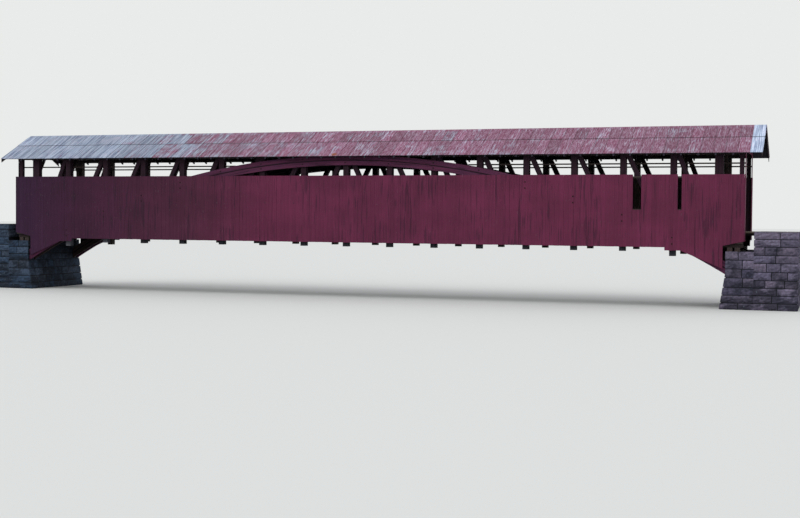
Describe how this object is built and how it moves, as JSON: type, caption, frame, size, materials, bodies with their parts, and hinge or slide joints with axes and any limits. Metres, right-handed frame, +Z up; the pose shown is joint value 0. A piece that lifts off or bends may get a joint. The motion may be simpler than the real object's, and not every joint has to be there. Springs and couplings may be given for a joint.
{
  "type": "covered bridge, 1:2 scale model",
  "caption": "Half-size model of a single-span covered timber bridge with arch-braced trusses, red board siding, a metal roof and stone abutments.",
  "frame": {"origin": "centre of the bridge at the lowest course of the abutments", "axes": "+X along the roadway to the right-hand end of the picture, +Y across it to the far side, +Z up"},
  "size_m": [26, 3.26, 5.084],
  "materials": {
    "rubble_stone": "rough squared rubble, weathered",
    "truss_timber": "sawn, weathered, worn dark red paint",
    "painted_arch": "sawn, worn red paint",
    "painted_boards": "sawn boards, faded dark red paint",
    "roof_timber": "sawn, unpainted, dark with age",
    "deck_planks": "worn planks",
    "roof_metal": "ribbed sheet, worn red paint over galvanised steel"
  },
  "bodies": {
    "root": {"barge_boards": "painted_boards", "bed_timbers": "truss_timber", "deck": "deck_planks", "far_braces": "truss_timber", "far_inner_arch_lower_leaf": "painted_arch", "far_inner_arch_upper_leaf": "painted_arch", "far_lower_chord": "truss_timber", "far_lower_roof_sheets": "roof_metal", "far_outer_arch_lower_leaf": "painted_arch", "far_outer_arch_upper_leaf": "painted_arch", "far_posts": "truss_timber", "far_rafters": "roof_timber", "far_roof_boards": "roof_timber", "far_siding": "painted_boards", "far_upper_chord": "truss_timber", "far_upper_roof_sheets": "roof_metal", "floor_beams": "truss_timber", "knee_braces": "truss_timber", "left_abutment": "rubble_stone", "left_approach": "rubble_stone", "lower_laterals": "truss_timber", "near_braces": "truss_timber", "near_inner_arch_lower_leaf": "painted_arch", "near_inner_arch_upper_leaf": "painted_arch", "near_lower_chord": "truss_timber", "near_lower_roof_sheets": "roof_metal", "near_outer_arch_lower_leaf": "painted_arch", "near_outer_arch_upper_leaf": "painted_arch", "near_posts": "truss_timber", "near_rafters": "roof_timber", "near_roof_boards": "roof_timber", "near_siding": "painted_boards", "near_upper_chord": "truss_timber", "near_upper_roof_sheets": "roof_metal", "portal_gables": "painted_boards", "portal_jambs": "painted_boards", "portal_posts": "truss_timber", "ridge_cap": "roof_metal", "right_abutment": "rubble_stone", "right_approach": "rubble_stone", "siding_girts": "roof_timber", "stringers": "truss_timber", "tie_beams": "truss_timber", "upper_laterals": "truss_timber", "upper_rails": "truss_timber"}
  },
  "joints": []
}
